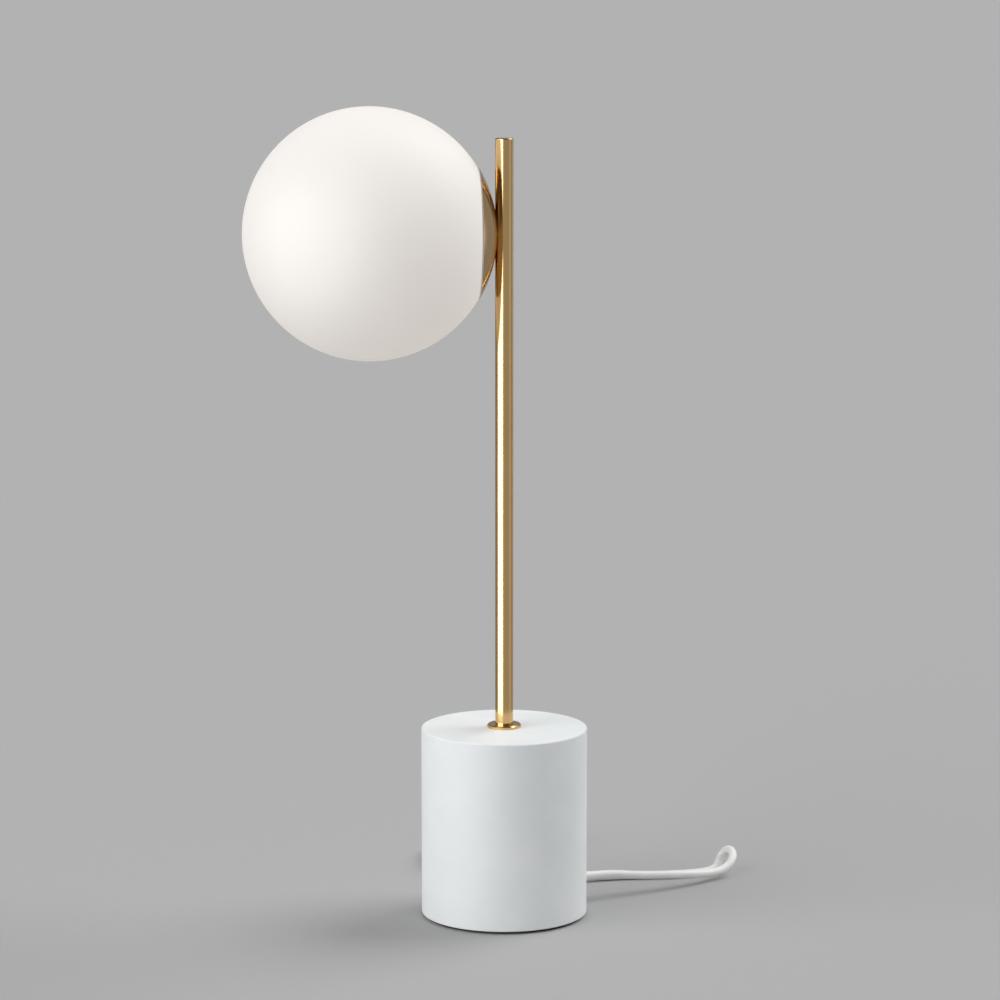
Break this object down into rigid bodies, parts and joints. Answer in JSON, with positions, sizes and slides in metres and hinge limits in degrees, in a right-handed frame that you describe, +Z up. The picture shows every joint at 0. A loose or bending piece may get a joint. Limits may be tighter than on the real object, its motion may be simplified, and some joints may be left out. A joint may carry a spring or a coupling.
{
  "type": "glass globe table lamp",
  "caption": "Table lamp with a round stone base, a slim polished stem and an opal glass globe hung beside the top of the stem, with a switched lead and a plug.",
  "frame": {"origin": "on the axis of the base and stem, at the face that rests on the table", "axes": "+Z up along the stem, the globe hangs towards -X, and the lead leaves the base 26 degrees from +X towards +Y"},
  "size_m": [0.3687, 0.315, 0.5867],
  "materials": {
    "stone": "satin",
    "pad": "matte",
    "polished_brass": "polished",
    "plain_brass": "machined",
    "zinc_steel": "zinc plated",
    "spring_steel": "satin",
    "opal_glass": "satin opal",
    "gasket": "matte",
    "holder_plastic": "matte",
    "nickel": "nickel plated",
    "lamp_plastic": "matte",
    "lamp_diffuser": "frosted",
    "board": "painted white",
    "chips": "gloss",
    "lead": "satin",
    "wire": "satin",
    "grommet": "satin",
    "clamp_plastic": "matte",
    "switch_plastic": "satin",
    "rocker_plastic": "gloss",
    "strap": "woven",
    "plug_plastic": "satin"
  },
  "bodies": {
    "lamp": {"stone_base": "stone", "foot_pad": "pad", "stem_tube": "polished_brass", "stem_end_cap": "polished_brass", "stem_collar": "polished_brass", "brass_cap": "polished_brass", "side_nipple": "plain_brass", "head_nut": "plain_brass", "gallery_nut": "plain_brass", "threaded_inserts": "plain_brass", "saddle_block": "plain_brass", "tie_tube": "plain_brass", "tie_nut": "plain_brass", "clip_rivets": "plain_brass", "centre_contact": "plain_brass", "holder_terminals": "plain_brass", "switch_contacts": "plain_brass", "bottom_plate": "zinc_steel", "plate_screws": "zinc_steel", "tie_washer": "zinc_steel", "lock_washer": "zinc_steel", "gallery_plate": "zinc_steel", "clamp_screws": "zinc_steel", "switch_screws": "zinc_steel", "spring_clips": "spring_steel", "glass_globe": "opal_glass", "mouth_gasket": "gasket", "holder_cap": "holder_plastic", "holder_skirt": "holder_plastic", "holder_insulator": "holder_plastic", "holder_shell": "nickel", "lamp_cap": "nickel", "lamp_button": "nickel", "plug_pins": "nickel", "lamp_insulator": "lamp_plastic", "lamp_body": "lamp_plastic", "lamp_diffuser": "lamp_diffuser", "light_board": "board", "light_chips": "chips", "lead_inner": "lead", "lead_front": "lead", "lead_link": "lead", "lead_coil": "lead", "lead_tail": "lead", "switch_lead_ends": "lead", "holder_wires": "wire", "lead_grommet": "grommet", "clamp_seat": "clamp_plastic", "clamp_bar": "clamp_plastic", "switch_base": "switch_plastic", "switch_cover": "switch_plastic", "coil_strap": "strap", "plug_body": "plug_plastic"},
    "rocker": {"switch_rocker": "rocker_plastic"}
  },
  "joints": [
    {"name": "rocker_tilt", "type": "hinge", "parent": "lamp", "child": "rocker", "pos_m": [0.023, 0.0825, 0.0124], "axis": [0, 1, 0], "range_deg": [0, 16]}
  ]
}
